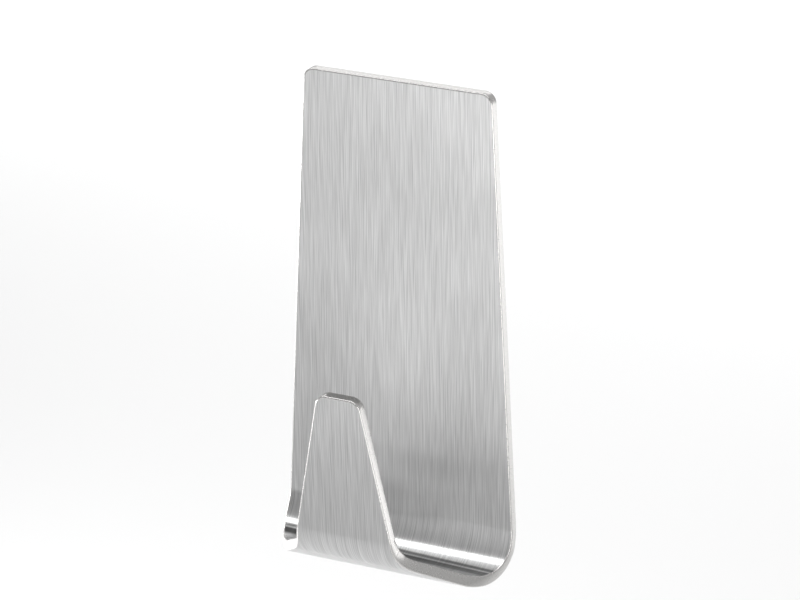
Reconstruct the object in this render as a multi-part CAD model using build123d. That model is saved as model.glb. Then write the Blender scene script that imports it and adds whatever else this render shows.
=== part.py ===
from build123d import *
import os
from math import radians, tan

# An adhesive hook: one folded steel sheet on a die-cut foam tape pad.
# Millimetres and degrees. +Z is up, -Y is out from the wall, and the wall is the plane Y = 0.
# The origin is the middle of the pad's wall face.

# Driving dimensions: the back plate, a flat trapezoid that is widest at the bottom fold
sheet_thickness = 1.5
plate_height = 60.5
plate_top_width = 27.0
plate_fold_width = 33.0
plate_corner_radius = 1.6

# Driving dimensions: the bottom fold, the slanting run in front of it and the second fold
bottom_fold_inside_radius = 4.85
bottom_fold_angle = 122.0
run_length = 6.6
lip_fold_inside_radius = 5.3

# Driving dimensions: the tongue, which leans out from upright and narrows to its tip
tongue_length = 19.7
tongue_lean = 4.0
tongue_tip_width = 6.0
tongue_flank_angle = 10.9
tongue_corner_radius = 1.7

# Driving dimensions: the neck, where the blank narrows from the plate's width to the tongue's
shoulder_below_fold_line = 6.3
shoulder_radius = 12.0
neck_before_tongue = 3.2
neck_radius = 7.0

# Driving dimensions: the rounding of every cut edge
edge_rounding = 0.2

# Driving dimensions: the foam tape pad, set in from the plate's edges and clear of the bottom fold
pad_thickness = 1.0
pad_side_inset = 2.0
pad_top_inset = 2.0
pad_above_fold_line = 3.0
pad_corner_radius = 3.0

# How finely the curved edge is followed round the folds, and the angle past which an edge is sharp
edge_steps = 24
arris_angle = 45.0

# The flat blank is known by a point's distance below the fold line and its half width there.
half_sheet = sheet_thickness / 2
plate_flare = (plate_fold_width - plate_top_width) / 2 / plate_height
flank_slope = tan(radians(tongue_flank_angle))

# Heights: the pad's middle is the origin, and the fold line is where the flat plate ends.
pad_height = plate_height - pad_above_fold_line - pad_top_inset
fold_line_height = -(pad_above_fold_line + pad_height / 2)

# The sheet's middle surface from the fold line to the foot of the tongue, as a path in the YZ plane
fold_start = Vector(0, -pad_thickness - half_sheet, fold_line_height)
side_plane = Plane(origin=fold_start, x_dir=(0, -1, 0), z_dir=(-1, 0, 0))
lip_fold_angle = 180 - tongue_lean - bottom_fold_angle
flat_path = JernArc((0, 0), (0, -1), bottom_fold_inside_radius + half_sheet, bottom_fold_angle)
flat_path += Line(flat_path @ 1, flat_path @ 1 + (flat_path % 1) * run_length)
flat_path += JernArc(flat_path @ 1, flat_path % 1, lip_fold_inside_radius + half_sheet, lip_fold_angle)
fold_path = side_plane * flat_path
fold_length = fold_path.length


def folded(half_width, distance, inward):
    """Where a point of the blank lies once the sheet is folded, moved inward from the middle surface."""
    along = distance / fold_length
    inside = (fold_path % along).cross(Vector(1, 0, 0))
    return fold_path @ along + inside * inward + Vector(half_width, 0, 0)


def flat_plate():
    """The back plate, with its two top corners rounded."""
    fold_half = plate_fold_width / 2
    top_half = plate_top_width / 2
    corners = [(-fold_half, 0), (fold_half, 0), (top_half, plate_height), (-top_half, plate_height)]
    outline = make_face(Polyline(*corners, close=True))
    outline = fillet(outline.vertices().group_by(Axis.Y)[-1], plate_corner_radius)
    front = Plane(origin=fold_start, x_dir=(1, 0, 0), z_dir=(0, -1, 0))
    return extrude(front * outline, half_sheet, both=True)


def tongue():
    """The flat tongue, with its two tip corners rounded."""
    tip_half = tongue_tip_width / 2
    foot_half = tip_half + flank_slope * tongue_length
    corners = [(-foot_half, 0), (foot_half, 0), (tip_half, tongue_length), (-tip_half, tongue_length)]
    outline = make_face(Polyline(*corners, close=True))
    outline = fillet(outline.vertices().group_by(Axis.Y)[-1], tongue_corner_radius)
    outward = Vector(1, 0, 0).cross(fold_path % 1)
    front = Plane(origin=fold_path @ 1, x_dir=(1, 0, 0), z_dir=outward)
    return extrude(front * outline, half_sheet, both=True)


def blank_edge():
    """The right edge of the flat blank from the fold line to the foot of the tongue, as (half width, distance)."""
    shoulder = shoulder_below_fold_line
    neck = fold_length - neck_before_tongue
    foot_half = tongue_tip_width / 2 + flank_slope * tongue_length
    points = [
        (plate_fold_width / 2, 0),
        (plate_fold_width / 2 + plate_flare * shoulder, shoulder),
        (foot_half + flank_slope * neck_before_tongue, neck),
        (foot_half, fold_length),
    ]
    return FilletPolyline(*points, radius=[shoulder_radius, neck_radius])


def outside_right_edge():
    """What lies outside the blank's right edge along the folds, cut square to the sheet."""
    edge = blank_edge()
    stations = [edge @ (step / edge_steps) for step in range(edge_steps + 1)]
    rails = []
    for inward in (sheet_thickness, -sheet_thickness):
        points = [folded(station.X, station.Y, inward) for station in stations]
        rails.append(Spline(*points).edge())
    return Solid.extrude(Face.make_surface_from_curves(*rails), (plate_fold_width, 0, 0))


def folds():
    """Both folds and the run between them, as wide as the blank is there."""
    strip = extrude(side_plane * trace(flat_path, sheet_thickness), plate_fold_width, both=True)
    right = outside_right_edge()
    return strip - right - mirror(right, about=Plane.YZ)


def cut_arrises(body):
    """The sharp edges that cutting the blank leaves, where two faces meet at a wide angle."""
    arrises = ShapeList()
    for edge in body.edges():
        sides = [face for face in body.faces() if any(edge.is_same(side) for side in face.edges())]
        first, second = (face.normal_at(edge @ 0.5) for face in sides)
        if first.get_angle(second) > arris_angle:
            arrises.append(edge)
    return arrises


def hook_sheet():
    """The whole folded sheet in one piece, with every cut edge eased."""
    sheet = flat_plate() + folds() + tongue()
    return fillet(cut_arrises(sheet), edge_rounding)


def adhesive_pad():
    """The foam tape pad, which follows the plate's outline and lies between the wall and the plate."""
    low = pad_above_fold_line
    high = plate_height - pad_top_inset
    low_half = plate_fold_width / 2 - plate_flare * low - pad_side_inset
    high_half = plate_fold_width / 2 - plate_flare * high - pad_side_inset
    corners = [(-low_half, low), (low_half, low), (high_half, high), (-high_half, high)]
    outline = make_face(Polyline(*corners, close=True))
    outline = fillet(outline.vertices(), pad_corner_radius)
    wall = Plane(origin=(0, 0, fold_line_height), x_dir=(1, 0, 0), z_dir=(0, -1, 0))
    return extrude(wall * outline, pad_thickness)


os.makedirs("parts", exist_ok=True)
export_step(hook_sheet(), "parts/hook_sheet.step")
export_step(adhesive_pad(), "parts/adhesive_pad.step")
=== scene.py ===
# %% [markdown]
# # An adhesive hook, folded from one sheet
# The real hook is a flat steel blank, cut out, brushed along its length and folded twice in a press.
# A foam tape pad on its back sticks it to the wall. This lesson makes both pieces in the same order
# as the workshop does: outline, cut, thickness, eased edges, folds, finish.
# The sizes are those of the engineering model, which is loaded first and never moved.

# %% Load the engineering model as a fixed frame
import math

import bmesh
import bpy
from mathutils import Matrix, Vector


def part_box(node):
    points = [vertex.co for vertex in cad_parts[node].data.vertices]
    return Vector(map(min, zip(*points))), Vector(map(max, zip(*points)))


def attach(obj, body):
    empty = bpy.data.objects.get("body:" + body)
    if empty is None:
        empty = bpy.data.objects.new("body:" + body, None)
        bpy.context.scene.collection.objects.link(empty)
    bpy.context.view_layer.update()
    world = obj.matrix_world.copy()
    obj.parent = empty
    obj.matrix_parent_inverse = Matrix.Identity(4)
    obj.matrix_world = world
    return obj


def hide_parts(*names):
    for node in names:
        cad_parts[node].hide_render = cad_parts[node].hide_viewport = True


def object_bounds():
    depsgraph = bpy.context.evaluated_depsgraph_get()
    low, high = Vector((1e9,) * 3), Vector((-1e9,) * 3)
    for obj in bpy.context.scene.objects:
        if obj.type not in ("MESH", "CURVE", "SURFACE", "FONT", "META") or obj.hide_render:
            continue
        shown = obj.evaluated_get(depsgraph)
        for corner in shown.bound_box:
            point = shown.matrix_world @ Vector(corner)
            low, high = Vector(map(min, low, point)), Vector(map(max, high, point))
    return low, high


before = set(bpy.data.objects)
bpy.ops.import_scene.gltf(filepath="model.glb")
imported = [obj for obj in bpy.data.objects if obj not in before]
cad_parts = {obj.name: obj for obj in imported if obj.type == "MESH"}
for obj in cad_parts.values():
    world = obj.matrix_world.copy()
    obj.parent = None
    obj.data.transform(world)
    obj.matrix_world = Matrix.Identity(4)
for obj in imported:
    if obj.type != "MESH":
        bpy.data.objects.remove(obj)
cad_low, cad_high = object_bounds()
sheet_low, sheet_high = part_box("hook_sheet")
pad_low, pad_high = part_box("adhesive_pad")
print("nodes:", sorted(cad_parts), "box:", cad_low[:], cad_high[:])

# %% [markdown]
# ## The blank's sizes
# Everything is in metres, so sizes in millimetres are multiplied by MM. A point of the flat blank is
# known by its half width and by its distance below the fold line, where the flat plate ends. What the
# frame already tells, such as the plate's top and its back face, is read from the frame.

# %% Sizes of the blank and its folds
MM = 0.001

sheet_thickness = 1.5 * MM
plate_height = 60.5 * MM
plate_top_width = 27.0 * MM
plate_fold_width = 33.0 * MM
plate_corner_radius = 1.6 * MM
bottom_fold_radius = 4.85 * MM + sheet_thickness / 2
bottom_fold_angle = math.radians(122.0)
run_length = 6.6 * MM
lip_fold_radius = 5.3 * MM + sheet_thickness / 2
tongue_lean = math.radians(4.0)
lip_fold_angle = math.pi - tongue_lean - bottom_fold_angle
tongue_length = 19.7 * MM
tongue_tip_width = 6.0 * MM
tongue_flank = math.tan(math.radians(10.9))
tongue_corner_radius = 1.7 * MM
shoulder_below_fold_line = 6.3 * MM
shoulder_radius = 12.0 * MM
neck_before_tongue = 3.2 * MM
neck_radius = 7.0 * MM
edge_rounding = 0.2 * MM

back_y = pad_low.y
middle_y = back_y - sheet_thickness / 2
fold_line_z = sheet_high.z - plate_height
bottom_fold_length = bottom_fold_radius * bottom_fold_angle
lip_fold_length = lip_fold_radius * lip_fold_angle
folds_length = bottom_fold_length + run_length + lip_fold_length
print("blank from top to tip:", round((plate_height + folds_length + tongue_length) / MM, 2), "mm")

# %% [markdown]
# ## The outline
# The blank is symmetric, so four corners on the right give all eight. They are the top corner, the
# shoulder, the neck and the tip. A face could be drawn with every point of its arcs, but a vertex bevel
# rounds a sharp corner by itself: its offset is the tangent length, the radius times the tangent of
# half the turn.

# %% Helpers for outlines
CORNER_SEGMENTS = 14
ROUND_PROFILE = 0.5
AS_NEIGHBOUR = -1


def right_corners():
    """Half width, distance below the fold line and radius of the right corners, from the top down."""
    flare = (plate_fold_width - plate_top_width) / 2 / plate_height
    shoulder_half = plate_fold_width / 2 + flare * shoulder_below_fold_line
    tip_half = tongue_tip_width / 2
    neck_half = tip_half + tongue_flank * (neck_before_tongue + tongue_length)
    return [
        (plate_top_width / 2, -plate_height, plate_corner_radius),
        (shoulder_half, shoulder_below_fold_line, shoulder_radius),
        (neck_half, folds_length - neck_before_tongue, neck_radius),
        (tip_half, folds_length + tongue_length, tongue_corner_radius),
    ]


def round_corner(bm, corner, radius):
    """Rounds one corner of a flat face to a radius."""
    ahead, behind = (edge.other_vert(corner).co - corner.co for edge in corner.link_edges)
    turn = math.pi - ahead.angle(behind)
    bmesh.ops.bevel(bm, geom=[corner], offset=radius * math.tan(turn / 2), offset_type="OFFSET",
                    affect="VERTICES", segments=CORNER_SEGMENTS, profile=ROUND_PROFILE,
                    material=AS_NEIGHBOUR)


def flat_outline(corners, y):
    """A symmetric upright face from its right corners, given as half width, height and radius."""
    bm = bmesh.new()
    right = [bm.verts.new((half, y, z)) for half, z, radius in corners]
    left = [bm.verts.new((-half, y, z)) for half, z, radius in corners]
    bm.faces.new(right + left[::-1])
    radii = [radius for half, z, radius in corners]
    for corner, radius in zip(right + left, radii + radii):
        round_corner(bm, corner, radius)
    return bm


# %% Cut out the blank's outline
blank_corners = [(half, fold_line_z - below, radius) for half, below, radius in right_corners()]
blank = flat_outline(blank_corners, back_y)
print("outline points:", len(blank.verts))

# %% [markdown]
# ## Bend lines
# A fold is many small bends side by side. The flat face is cut across at each bend line, so that the
# sheet has somewhere to bend, and the cuts are two degrees apart, which no eye can tell from a round fold.

# %% Cut the blank at its bend lines
BEND_STEP = math.radians(2.0)
ON_LINE = 0.01 * MM


def bend_lines():
    """Distance below the fold line and turn of every small bend, from the plate to the tongue."""
    lines = []
    start = 0.0
    for length, angle in ((bottom_fold_length, bottom_fold_angle), (lip_fold_length, lip_fold_angle)):
        count = round(angle / BEND_STEP)
        lines += [(start + length * (bend + 0.5) / count, angle / count) for bend in range(count)]
        start += length + run_length
    return lines


def outline_turns(bm):
    """Distance below the fold line of every outline point in the folds.

    A cut through each of them leaves strips of four corners, which bend cleanly.
    """
    turns = {round((fold_line_z - vert.co.z) / ON_LINE) * ON_LINE for vert in bm.verts}
    return sorted(below for below in turns if 0 < below < folds_length)


cuts = outline_turns(blank) + [below for below, turn in bend_lines()]
for below in cuts:
    everything = blank.verts[:] + blank.edges[:] + blank.faces[:]
    bmesh.ops.bisect_plane(blank, geom=everything, dist=ON_LINE,
                           plane_co=(0, back_y, fold_line_z - below), plane_no=(0, 0, 1))
print("bend lines:", len(bend_lines()), "faces:", len(blank.faces))

# %% [markdown]
# ## Thickness and eased edges
# The face is extruded to the sheet's thickness while it is still flat, and the arrises that cutting
# leaves are rounded by an edge bevel, as tumbling does in the works. The broad faces and the cut edges
# have different finishes, so they are told apart here, where a normal is enough to know them.

# %% Give the blank its thickness and ease its arrises
SHARP = math.radians(45)
EASE_SEGMENTS = 3
FACING = 0.999
FRONT, BACK, CUT = 0, 1, 2


def thicken(bm, depth):
    """Extrudes a flat upright face outwards from the wall into a closed plate."""
    grown = bmesh.ops.extrude_face_region(bm, geom=bm.faces[:])
    moved = [item for item in grown["geom"] if isinstance(item, bmesh.types.BMVert)]
    bmesh.ops.translate(bm, verts=moved, vec=(0, -depth, 0))
    bmesh.ops.recalc_face_normals(bm, faces=bm.faces[:])


def ease_arrises(bm, radius):
    """Rounds every edge at which two faces meet at a wide angle."""
    arrises = [edge for edge in bm.edges if edge.is_manifold and edge.calc_face_angle() > SHARP]
    bmesh.ops.bevel(bm, geom=arrises, offset=radius, offset_type="OFFSET", affect="EDGES",
                    segments=EASE_SEGMENTS, profile=ROUND_PROFILE, material=AS_NEIGHBOUR,
                    loop_slide=True)
    return len(arrises)


def finish_of(face):
    """Which finish a face of the flat blank gets, told by the way it faces."""
    if face.normal.y < -FACING:
        return FRONT
    if face.normal.y > FACING:
        return BACK
    return CUT


thicken(blank, sheet_thickness)
eased = ease_arrises(blank, edge_rounding)
blank.normal_update()
for face in blank.faces:
    face.material_index = finish_of(face)
    face.smooth = True
print("arrises eased:", eased, "faces:", len(blank.faces))

# %% [markdown]
# ## A map of the flat blank
# The brushing was done before the folding, so it follows the flat blank and not the folded hook. The
# blank's own two directions are kept as a UV map: U across the sheet and V along it, in decimetres.
# On the cut edges the thickness is added to both, which leaves no face without an area on the map. It
# also parts them from the broad faces there, so that their slant can't turn the brushing beside them.

# %% Keep the flat blank as a UV map
MAP_UNIT = 0.1
blank_map = blank.loops.layers.uv.new("blank")
for face in blank.faces:
    for loop in face.loops:
        x, y, z = loop.vert.co
        depth = middle_y - y if face.material_index == CUT else 0.0
        loop[blank_map].uv = ((x + depth) / MAP_UNIT, (z - depth) / MAP_UNIT)
print("mapped corners:", sum(len(face.loops) for face in blank.faces))

# %% [markdown]
# ## Folding
# The folds are made from the tip back to the plate. Each bend line then still lies in the flat part when
# its turn comes, so its axis is known without any reckoning: all that lies beyond it turns as one rigid
# piece, and the points on the line itself turn half as far, which mitres the thickness.

# %% Fold the sheet
FLAT_WEIGHT = 50


def fold(bm):
    """Bends a flat blank at each of its bend lines, starting with the one nearest the tip."""
    along = bm.verts.layers.float.new("along")
    for vert in bm.verts:
        vert[along] = fold_line_z - vert.co.z
    for below, turn in reversed(bend_lines()):
        axis = Vector((0, middle_y, fold_line_z - below))
        beyond = [vert for vert in bm.verts if vert[along] > below + ON_LINE]
        on_line = [vert for vert in bm.verts if abs(vert[along] - below) <= ON_LINE]
        bmesh.ops.rotate(bm, verts=beyond, cent=axis, matrix=Matrix.Rotation(-turn, 3, "X"))
        bmesh.ops.rotate(bm, verts=on_line, cent=axis, matrix=Matrix.Rotation(-turn / 2, 3, "X"))
    bm.verts.layers.float.remove(along)


def finished_piece(bm, name):
    """Turns a bmesh into an object that rides on the frame's one body."""
    mesh = bpy.data.meshes.new(name)
    bm.to_mesh(mesh)
    bm.free()
    piece = bpy.data.objects.new(name, mesh)
    bpy.context.scene.collection.objects.link(piece)
    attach(piece, "root")
    return piece


fold(blank)
hook = finished_piece(blank, "folded_sheet")
flat_shading = hook.modifiers.new("flat faces stay flat", "WEIGHTED_NORMAL")
flat_shading.weight = FLAT_WEIGHT
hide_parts("hook_sheet")
points = [vert.co for vert in hook.data.vertices]
for axis, letter in enumerate("xyz"):
    low, high = min(p[axis] for p in points), max(p[axis] for p in points)
    print(letter, round(low / MM, 3), round(high / MM, 3), "frame", round(sheet_low[axis] / MM, 3),
          round(sheet_high[axis] / MM, 3))

# %% [markdown]
# ## Brushed steel
# Brushing leaves fine grooves along the sheet. They spread a reflection across the grooves and hardly
# along them, which is what the shader's anisotropy does: its tangent is the map's U, across the sheet.
# Single grooves also show as faint light and dark lines. An image could give those, but a noise that is
# stretched along V has no end and no seam. The stretched noise is then turned in its own space, because
# the cells of a noise that lies square to the sheet show up as rows.

# %% Helpers for materials


def new_material(name):
    """A node material with its tree and its shader."""
    material = bpy.data.materials.new(name)
    material.use_nodes = True
    tree = material.node_tree
    return material, tree, tree.nodes["Principled BSDF"]


def add_node(tree, kind, inputs=(), **settings):
    """Adds a node with its settings, and sets or links its inputs."""
    node = tree.nodes.new(kind)
    for key, value in settings.items():
        setattr(node, key, value)
    for key, value in dict(inputs).items():
        if isinstance(value, bpy.types.NodeSocket):
            tree.links.new(value, node.inputs[key])
        else:
            node.inputs[key].default_value = value
    return node


def grey_ramp(tree, value, stops):
    """A grey that changes with a value, through stops given as value and grey level."""
    first, last = stops[0][0], stops[-1][0]
    share = add_node(tree, "ShaderNodeMapRange", {"Value": value, "From Min": first, "From Max": last})
    greys = add_node(tree, "ShaderNodeValToRGB", {"Fac": share.outputs["Result"]})
    for at, level in stops[1:-1]:
        greys.color_ramp.elements.new((at - first) / (last - first))
    for element, (at, level) in zip(greys.color_ramp.elements, stops):
        element.color = (level, level, level, 1.0)
    return greys.outputs["Color"]


# %% Grooves of the brushing
GROOVES_ACROSS = 800.0
GROOVES_ALONG = 11.0
GROOVE_TURN = math.radians(31.0)
GROOVE_DETAIL = 2.0
GROOVE_ROUGHNESS = 0.6
FAINTEST, STRONGEST = 0.2, 0.8


def groove_noise(tree, blank_uv):
    """A noise drawn out along the blank, many times finer across the sheet than along it."""
    drawn_out = add_node(tree, "ShaderNodeMapping", {
        "Vector": blank_uv,
        "Scale": (GROOVES_ACROSS, GROOVES_ALONG, 1.0),
        "Rotation": (0.0, 0.0, GROOVE_TURN),
    })
    noise = add_node(tree, "ShaderNodeTexNoise", {
        "Vector": drawn_out.outputs["Vector"],
        "Scale": 1.0,
        "Detail": GROOVE_DETAIL,
        "Roughness": GROOVE_ROUGHNESS,
    }, noise_dimensions="2D")
    return noise.outputs["Fac"]


def below_fold_line(tree, along):
    """Distance below the fold line in millimetres, from the map's V."""
    distance = add_node(tree, "ShaderNodeMapRange", {
        "Value": along,
        "From Min": fold_line_z / MAP_UNIT,
        "From Max": (fold_line_z - MM) / MAP_UNIT,
    }, clamp=False)
    return distance.outputs["Result"]


print("one groove is about", round(MAP_UNIT / GROOVES_ACROSS / MM, 3), "mm wide and",
      round(MAP_UNIT / GROOVES_ALONG / MM, 1), "mm long")

# %% [markdown]
# ## Polish in the folds, and painted shade inside the bottom fold
# The blank is pressed over a rounded bar. The bar and the die rub the grooves down in the bottom fold, so
# the steel is smoother there and mirrors the lamps as a band, while beside it the stretched steel is
# duller. On the inside, dark stripes along the bend are painted into the steel's colour, a little askew
# across the sheet: painted shade of the fold's hollow and a painted reflection of dark things. Both follow
# the distance below the fold line, so a few stops on a ramp give them, and no line has to be drawn.

# %% Polish, and painted shade inside the bottom fold
# Distance below the fold line in millimetres, and roughness there
INSIDE_POLISH = ((0.0, 0.5), (2.0, 0.65), (4.4, 0.65), (5.2, 0.28),
                 (9.4, 0.28), (11.0, 0.6), (19.0, 0.6), (22.0, 0.5))
OUTSIDE_POLISH = ((3.9, 0.5), (4.9, 0.28), (11.0, 0.28), (14.0, 0.5))

# Distance below the fold line in millimetres, and the share of the light that comes back from there:
# painted shade and painted dark reflections inside the bottom fold, multiplied into the steel's colour
PAINTED_FOLD_SHADE = ((6.4, 1.0), (6.7, 0.4), (7.0, 0.4), (7.3, 1.0),
              (7.6, 0.2), (8.4, 0.18), (9.0, 0.6), (10.5, 1.0))

# Millimetres by which the painted shade stripes drop for each millimetre to the right
PAINTED_STRIPE_SKEW = 0.05

# A Mix node has a set of sockets for each kind of data, and these are its colours
MIX_FIRST, MIX_SECOND, MIX_RESULT = 6, 7, 2


def with_painted_fold_shade(tree, tint, across, below):
    """A tint darkened by painted shade and painted dark reflections along stripes inside the bottom fold.
    """
    askew = add_node(tree, "ShaderNodeMath", {0: across, 1: -PAINTED_STRIPE_SKEW * MAP_UNIT / MM, 2: below},
                     operation="MULTIPLY_ADD")
    # Painted shade and painted dark reflections: stripes that darken the tint inside the bottom fold
    lines = grey_ramp(tree, askew.outputs["Value"], PAINTED_FOLD_SHADE)
    darkened = add_node(tree, "ShaderNodeMix", {MIX_FIRST: tint, MIX_SECOND: lines, "Factor": 1.0},
                        data_type="RGBA", blend_type="MULTIPLY")
    return darkened.outputs[MIX_RESULT]


print("painted fold shade from", PAINTED_FOLD_SHADE[0][0], "to", PAINTED_FOLD_SHADE[-1][0], "mm below the fold line")

# %% Steel for the broad faces
INSIDE_TINT = (0.57, 0.93)
OUTSIDE_TINT = (0.53, 0.86)


def brushed_steel(name, groove_tint, polish, painted_stripes):
    """Stainless steel brushed along the blank, with or without painted shade stripes in its bottom fold.
    """
    material, tree, steel = new_material(name)
    steel.inputs["Metallic"].default_value = 1.0
    steel.inputs["Anisotropic"].default_value = 1.0
    tangent = add_node(tree, "ShaderNodeTangent", direction_type="UV_MAP", uv_map="blank")
    tree.links.new(tangent.outputs["Tangent"], steel.inputs["Tangent"])
    blank_uv = add_node(tree, "ShaderNodeUVMap", uv_map="blank").outputs["UV"]
    place = add_node(tree, "ShaderNodeSeparateXYZ", {"Vector": blank_uv})
    below = below_fold_line(tree, place.outputs["Y"])
    dull, bright = groove_tint
    tint = grey_ramp(tree, groove_noise(tree, blank_uv), ((FAINTEST, dull), (STRONGEST, bright)))
    if painted_stripes:
        # Only the front steel gets painted shade and painted dark reflections inside its bottom fold
        tint = with_painted_fold_shade(tree, tint, place.outputs["X"], below)
    tree.links.new(tint, steel.inputs["Base Color"])
    tree.links.new(grey_ramp(tree, below, polish), steel.inputs["Roughness"])
    return material


# The front steel carries painted shade and painted dark reflections in its bottom fold
hook.data.materials.append(brushed_steel("brushed steel front", INSIDE_TINT, INSIDE_POLISH, True))
hook.data.materials.append(brushed_steel("brushed steel back", OUTSIDE_TINT, OUTSIDE_POLISH, False))
print("broad faces:", [material.name for material in hook.data.materials])

# %% [markdown]
# ## The cut edges
# The edges were cut and tumbled, so they have no grooves. They are smoother than the faces and mirror the
# room more sharply. The tumbling leaves a fine grain, which is a small change of roughness here: a bump
# at that scale would only make the render noisy.

# %% Steel for the cut edges
EDGE_TINT = (0.66, 0.65, 0.64, 1.0)
EDGE_GRAIN = 3000.0
EDGE_GRAIN_DETAIL = 2.0
EDGE_POLISH = ((0.0, 0.255), (1.0, 0.285))


def cut_steel():
    """Smooth tumbled steel, as on a cut edge."""
    material, tree, steel = new_material("tumbled edge")
    steel.inputs["Metallic"].default_value = 1.0
    steel.inputs["Base Color"].default_value = EDGE_TINT
    place = add_node(tree, "ShaderNodeTexCoord").outputs["Object"]
    grain = add_node(tree, "ShaderNodeTexNoise", {"Vector": place, "Scale": EDGE_GRAIN,
                                                  "Detail": EDGE_GRAIN_DETAIL})
    tree.links.new(grey_ramp(tree, grain.outputs["Fac"], EDGE_POLISH), steel.inputs["Roughness"])
    return material


hook.data.materials.append(cut_steel())
print("cut faces:", sum(face.material_index == CUT for face in hook.data.polygons))

# %% [markdown]
# ## The foam tape pad
# The pad is die cut from foam tape to follow the plate, and set in from its edges. A scaled copy of the
# plate would do for its shape, but its inset has to be even all round. So it is made like the blank: an
# outline with rounded corners, thickness, eased edges.

# %% Cut out the pad
pad_corner_radius = 3.0 * MM
pad_side_inset = 2.0 * MM
pad_edge_rounding = 0.15 * MM
pad_thickness = pad_high.y - pad_low.y


def plate_half_width(z):
    """Half the plate's width at a height."""
    share = (sheet_high.z - z) / plate_height
    return (plate_top_width + (plate_fold_width - plate_top_width) * share) / 2


pad_corners = [(plate_half_width(z) - pad_side_inset, z, pad_corner_radius)
               for z in (pad_high.z, pad_low.z)]
tape = flat_outline(pad_corners, pad_high.y)
thicken(tape, pad_thickness)
ease_arrises(tape, pad_edge_rounding)
for face in tape.faces:
    face.smooth = True
pad = finished_piece(tape, "foam_tape_pad")
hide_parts("adhesive_pad")
print("pad faces:", len(pad.data.polygons), "thickness:", round(pad_thickness / MM, 2), "mm")

# %% [markdown]
# ## Foam
# Closed-cell foam is a mass of small bubbles, cut open where the tape was sliced. A Voronoi pattern has
# the same cells: its distance from each cell's middle shades the bubbles, and as a bump dents them.

# %% Foam for the pad
FOAM_CELLS = 6000.0
FOAM_SHADE = ((0.0, 0.42), (1.0, 0.34))
FOAM_ROUGHNESS = 0.55
DENT_STRENGTH = 0.3
DENT_DEPTH = 0.05 * MM


def foam_tape():
    """Grey closed-cell foam with a tacky satin face."""
    material, tree, foam = new_material("foam tape")
    place = add_node(tree, "ShaderNodeTexCoord").outputs["Object"]
    cells = add_node(tree, "ShaderNodeTexVoronoi", {"Vector": place, "Scale": FOAM_CELLS})
    from_middle = cells.outputs["Distance"]
    tree.links.new(grey_ramp(tree, from_middle, FOAM_SHADE), foam.inputs["Base Color"])
    foam.inputs["Roughness"].default_value = FOAM_ROUGHNESS
    dents = add_node(tree, "ShaderNodeBump", {
        "Height": from_middle,
        "Strength": DENT_STRENGTH,
        "Distance": DENT_DEPTH,
    })
    tree.links.new(dents.outputs["Normal"], foam.inputs["Normal"])
    return material


pad.data.materials.append(foam_tape())
print("pad material:", pad.data.materials[0].name)

# %% [markdown]
# ## The floor
# The hook hangs in the air over a plain pale floor, because its wall would hide the pad. The floor lies
# well below, so that it catches no shadow of the hook, and it is matt, so that it mirrors nothing. Steel
# shows only what it mirrors, and most of what the plate and the tongue mirror is this floor.

# %% Floor
FLOOR_DROP = 250 * MM
FLOOR_HALF = 3.0
FLOOR_COLOUR = (0.87, 0.87, 0.87, 1.0)
FLOOR_ROUGHNESS = 0.9


def pale_floor():
    """A large flat square below the hook, which belongs to the stage."""
    bm = bmesh.new()
    bmesh.ops.create_grid(bm, x_segments=1, y_segments=1, size=FLOOR_HALF)
    bmesh.ops.translate(bm, verts=bm.verts[:], vec=(0, 0, cad_low.z - FLOOR_DROP))
    mesh = bpy.data.meshes.new("floor")
    bm.to_mesh(mesh)
    bm.free()
    material, tree, paper = new_material("pale floor")
    paper.inputs["Base Color"].default_value = FLOOR_COLOUR
    paper.inputs["Roughness"].default_value = FLOOR_ROUGHNESS
    paper.inputs["Specular IOR Level"].default_value = 0.0
    mesh.materials.append(material)
    return bpy.data.objects.new("floor", mesh)


floor = pale_floor()
bpy.context.scene.collection.objects.link(floor)
print("floor at", round((cad_low.z - FLOOR_DROP) / MM, 1), "mm")

# %% [markdown]
# ## The room
# The world stands for the walls of a white room, a little darker in front of the hook than behind it. One
# even grey would do, but then the tip's edge and the fold would look as flat as the paper around them.

# %% World light
ROOM_FRONT = 0.4
ROOM_BACK = 0.53
TURN_OVER = 0.3

world = bpy.data.worlds.new("studio")
bpy.context.scene.world = world
world.use_nodes = True
room = world.node_tree
toward = add_node(room, "ShaderNodeTexCoord")
sides = add_node(room, "ShaderNodeSeparateXYZ", {"Vector": toward.outputs["Generated"]})
walls = add_node(room, "ShaderNodeMapRange", {
    "Value": sides.outputs["Y"],
    "From Min": -TURN_OVER,
    "From Max": TURN_OVER,
    "To Min": ROOM_FRONT,
    "To Max": ROOM_BACK,
})
room.links.new(walls.outputs["Result"], room.nodes["Background"].inputs["Color"])
room.nodes["Background"].inputs["Strength"].default_value = 1.0
print("room from", ROOM_FRONT, "in front to", ROOM_BACK, "behind")

# %% [markdown]
# ## Softboxes and cards
# Each lamp has one task. The overhead strip makes the white band in the bottom fold, and the back softbox
# lights the top edge. The low lamps wash the floor white. The cards stand round the hook as a
# photographer's white cards do: those behind it on the right brighten the cut edges, and those in front
# of it even out the plate. A lamp's brightness is given as seen in a mirror, its radiance, because that
# is what steel shows. Blender wants watts, which are pi times the radiance and the area.

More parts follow.
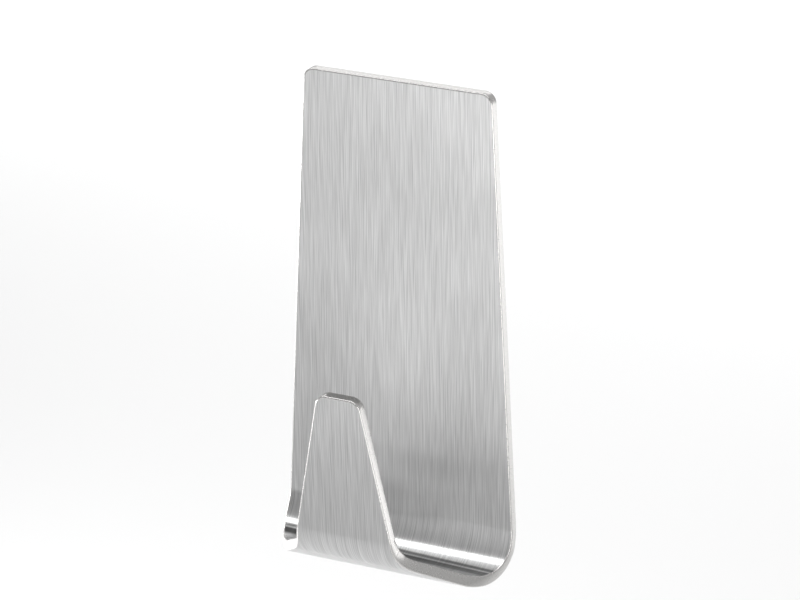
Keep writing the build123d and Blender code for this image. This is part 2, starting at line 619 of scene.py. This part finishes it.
# %% Softboxes
# Name, place, aim, width and height in metres, radiance
SOFTBOXES = (
    ("overhead strip", (-0.25, -0.085, 0.6), (-0.25, -0.085, 0.0), (1.3, 0.23), 2.6),
    ("back softbox", (-0.35, 0.8, 0.4), (-0.35, 0.8, 0.0), (0.9, 0.6), 1.05),
    ("low back strip", (-0.15, 1.2, -0.1), (-0.15, 0.0, -0.1), (2.7, 0.35), 3.7),
    ("low left softbox", (-0.45, 0.05, -0.1), (-0.1, 0.0, -0.287), (0.3, 0.15), 14.0),
    ("side card", (0.065, -0.06, -0.012), (0.013, -0.0025, 0.015), (0.03, 0.075), 2.3),
    ("high side card", (0.05, -0.048, 0.014), (0.013, -0.0025, 0.034), (0.03, 0.03), 1.75),
    ("left card", (-0.13, -0.2, -0.115), (-0.01, -0.0025, -0.02), (0.1, 0.035), 1.7),
    ("back right card", (0.236, 0.416, -0.18), (0.0165, -0.0018, -0.015), (0.2, 0.12), 0.25),
    ("far right card", (0.317, 0.308, -0.06), (0.006, -0.016, -0.022), (0.2, 0.2), 0.95),
    ("front softbox", (0.22, -0.33, -0.14), (0.0, 0.0, 0.0), (0.2, 0.08), 1.4),
)

# The cut edges would mirror this lamp as a glare from behind, so the steel doesn't see it
FLOOR_LAMPS = ("low back strip",)


def softbox(name, place, aim, size, radiance, mirrored):
    """A rectangular lamp of even brightness, which looks from its place to its aim."""
    lamp = bpy.data.lights.new(name, "AREA")
    lamp.shape = "RECTANGLE"
    lamp.size, lamp.size_y = size
    lamp.energy = radiance * math.pi * lamp.size * lamp.size_y
    holder = bpy.data.objects.new(name, lamp)
    holder.location = place
    holder.rotation_euler = (Vector(aim) - Vector(place)).to_track_quat("-Z", "Y").to_euler()
    holder.visible_camera = False
    holder.visible_glossy = mirrored
    bpy.context.scene.collection.objects.link(holder)


for name, place, aim, size, radiance in SOFTBOXES:
    softbox(name, place, aim, size, radiance, name not in FLOOR_LAMPS)
print("lamps:", [name for name, place, aim, size, radiance in SOFTBOXES])

# %% [markdown]
# ## Colour
# Blender's own view softens bright parts towards grey, which suits a landscape. A picture of a steel part
# on white keeps its whites, so the plain view is chosen, with no look, no exposure and no gamma.

# %% Colour management
scene = bpy.context.scene
scene.view_settings.view_transform = "Standard"
scene.view_settings.look = "None"
scene.view_settings.exposure = 0.0
scene.view_settings.gamma = 1.0
print("view:", scene.view_settings.view_transform)

# %% [markdown]
# ## Camera
# The hook is seen through a long lens from the right and a little above. The numbers come from matching
# the corners of the engineering model to the same corners in the picture, so the camera is set by turn,
# rise, roll and distance instead of by hand. Its three axes are the columns of its matrix: right, up, and
# back towards the eye.

# %% Camera
PICTURE_WIDTH = 800
SENSOR_WIDTH = 36.0
focal_pixels = 4220.5
camera_turn = math.radians(25.79)
camera_rise = math.radians(21.87)
camera_roll = math.radians(-0.413)
camera_distance = 557.1 * MM
camera_aim = Vector((-0.465, -1.0, -1.32)) * MM
NEAREST, FARTHEST = 0.01, 20.0

level_back = Vector((math.sin(camera_turn), -math.cos(camera_turn), 0))
level_right = Vector((math.cos(camera_turn), math.sin(camera_turn), 0))
back = math.cos(camera_rise) * level_back + math.sin(camera_rise) * Vector((0, 0, 1))
level_up = back.cross(level_right)
right = math.cos(camera_roll) * level_right + math.sin(camera_roll) * level_up
up = back.cross(right)
lens = bpy.data.cameras.new("camera")
lens.sensor_fit = "HORIZONTAL"
lens.sensor_width = SENSOR_WIDTH
lens.lens = SENSOR_WIDTH * focal_pixels / PICTURE_WIDTH
lens.clip_start = NEAREST
lens.clip_end = FARTHEST
camera = bpy.data.objects.new("camera", lens)
scene.collection.objects.link(camera)
axes = Matrix((right, up, back)).transposed().to_4x4()
camera.matrix_world = Matrix.Translation(camera_aim + camera_distance * back) @ axes
scene.camera = camera
print("lens:", round(lens.lens, 1), "mm")
